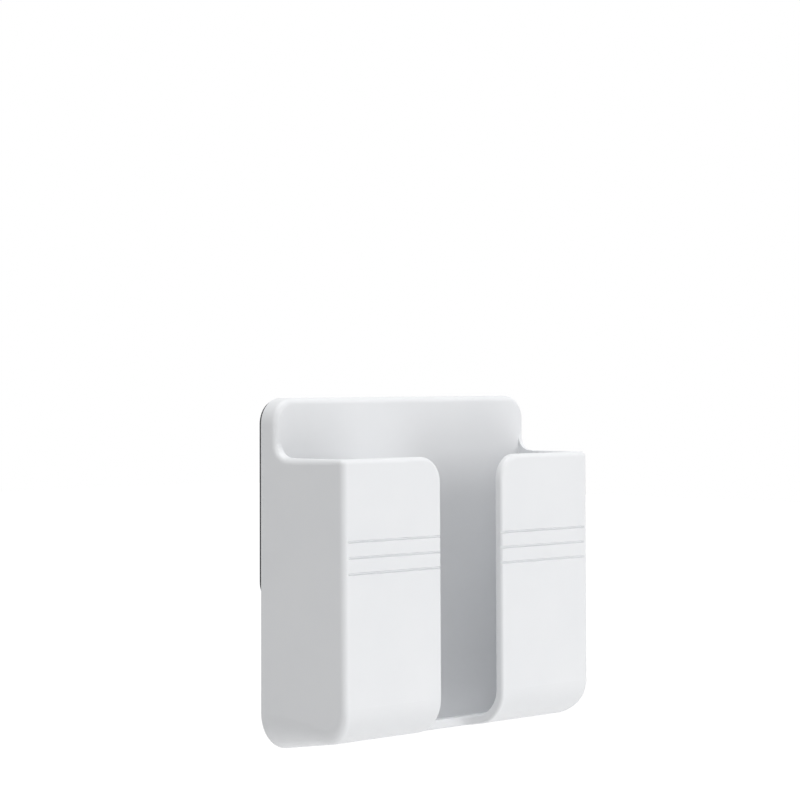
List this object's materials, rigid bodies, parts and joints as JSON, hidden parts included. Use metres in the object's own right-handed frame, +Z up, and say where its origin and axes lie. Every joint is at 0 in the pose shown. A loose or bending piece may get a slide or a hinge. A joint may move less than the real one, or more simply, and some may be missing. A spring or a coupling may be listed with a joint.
{
  "type": "wall-mounted phone holder",
  "caption": "Open-topped moulded pocket on a back plate, split down the front by a cable gap, stuck to a wall by a foam pad to hold a handset while it charges.",
  "frame": {"origin": "middle of the foam pad's face on the wall", "axes": "+X to the right seen from the front, +Y into the wall, +Z up; the pocket faces -Y"},
  "size_m": [0.099, 0.0291, 0.0894],
  "materials": {
    "white_plastic": "satin",
    "foam_tape": "matte"
  },
  "bodies": {
    "root": {"holder_body": "white_plastic", "adhesive_pad": "foam_tape"}
  },
  "joints": []
}
